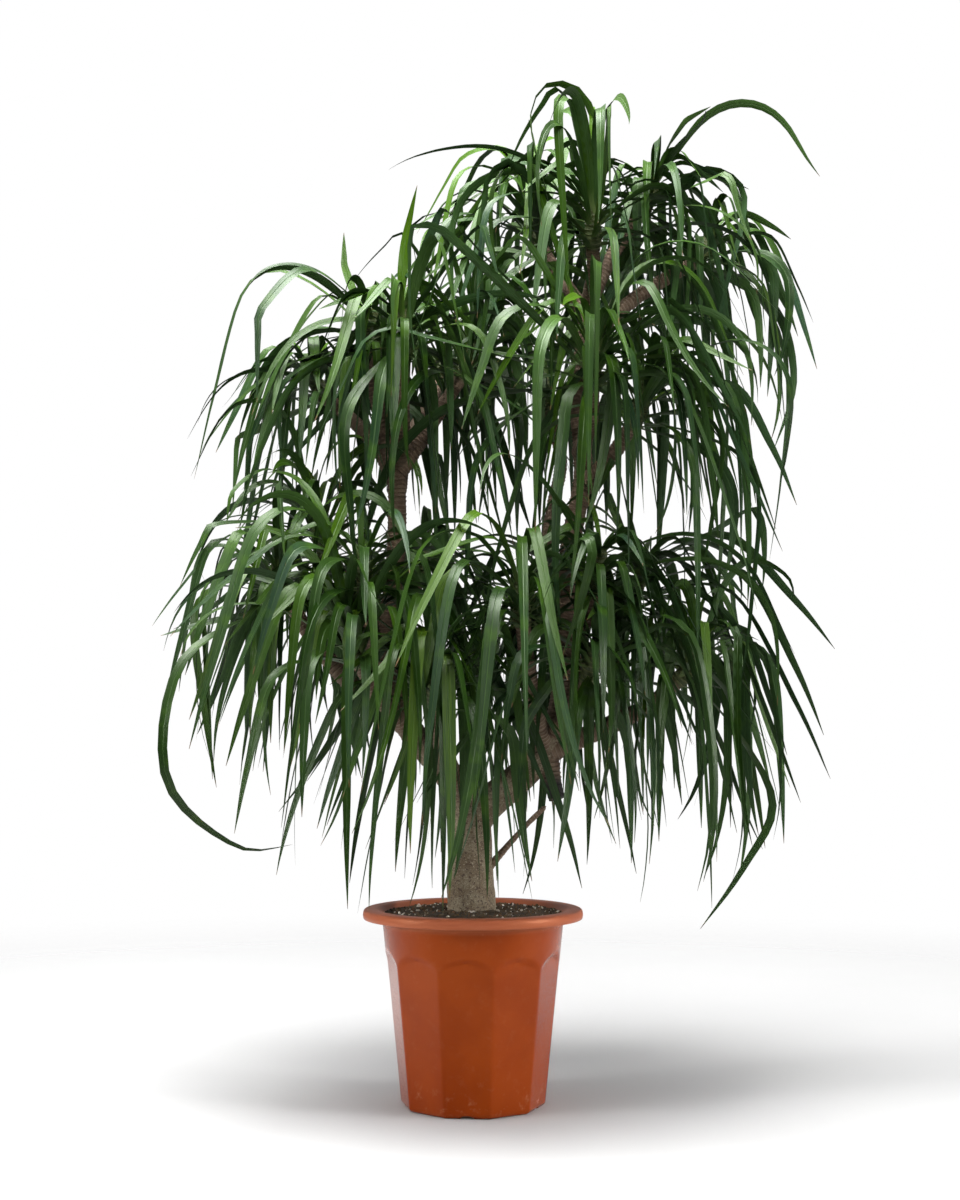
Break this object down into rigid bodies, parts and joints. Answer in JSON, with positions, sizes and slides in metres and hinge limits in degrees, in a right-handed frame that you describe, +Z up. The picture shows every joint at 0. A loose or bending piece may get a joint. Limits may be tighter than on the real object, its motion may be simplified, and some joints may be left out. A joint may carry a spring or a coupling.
{
  "type": "potted dracaena",
  "caption": "Branching dracaena with drooping strap leaves in three tiers, growing in soil in a round-lipped plastic pot with flat faces.",
  "frame": {"origin": "centre of the pot's underside, on the floor", "axes": "+Z up along the pot's axis, -Y towards the side that the picture shows, +X to that side's right"},
  "size_m": [1.066, 1.0066, 1.6085],
  "materials": {
    "terracotta_plastic": "glossy",
    "potting_soil": "rough",
    "bark": "rough",
    "leaf_green": "satin"
  },
  "bodies": {
    "root": {"pot": "terracotta_plastic", "soil": "potting_soil", "trunk": "bark", "crown_top_a": "leaf_green", "crown_top_b": "leaf_green", "crown_top_c": "leaf_green", "crown_top_d": "leaf_green", "crown_left_a": "leaf_green", "crown_left_b": "leaf_green", "crown_left_c": "leaf_green", "crown_left_d": "leaf_green", "crown_left_back": "leaf_green", "crown_back_right": "leaf_green", "crown_middle_a": "leaf_green", "crown_middle_b": "leaf_green", "crown_middle_c": "leaf_green", "crown_low_left_a": "leaf_green", "crown_low_left_b": "leaf_green", "crown_low_left_c": "leaf_green", "crown_low_left_d": "leaf_green", "crown_low_left_e": "leaf_green", "crown_low_back_left": "leaf_green", "crown_low_right_a": "leaf_green", "crown_low_right_b": "leaf_green", "crown_low_right_c": "leaf_green", "crown_low_right_d": "leaf_green", "crown_low_back_right": "leaf_green", "crown_low_middle_a": "leaf_green", "crown_low_middle_b": "leaf_green"}
  },
  "joints": []
}
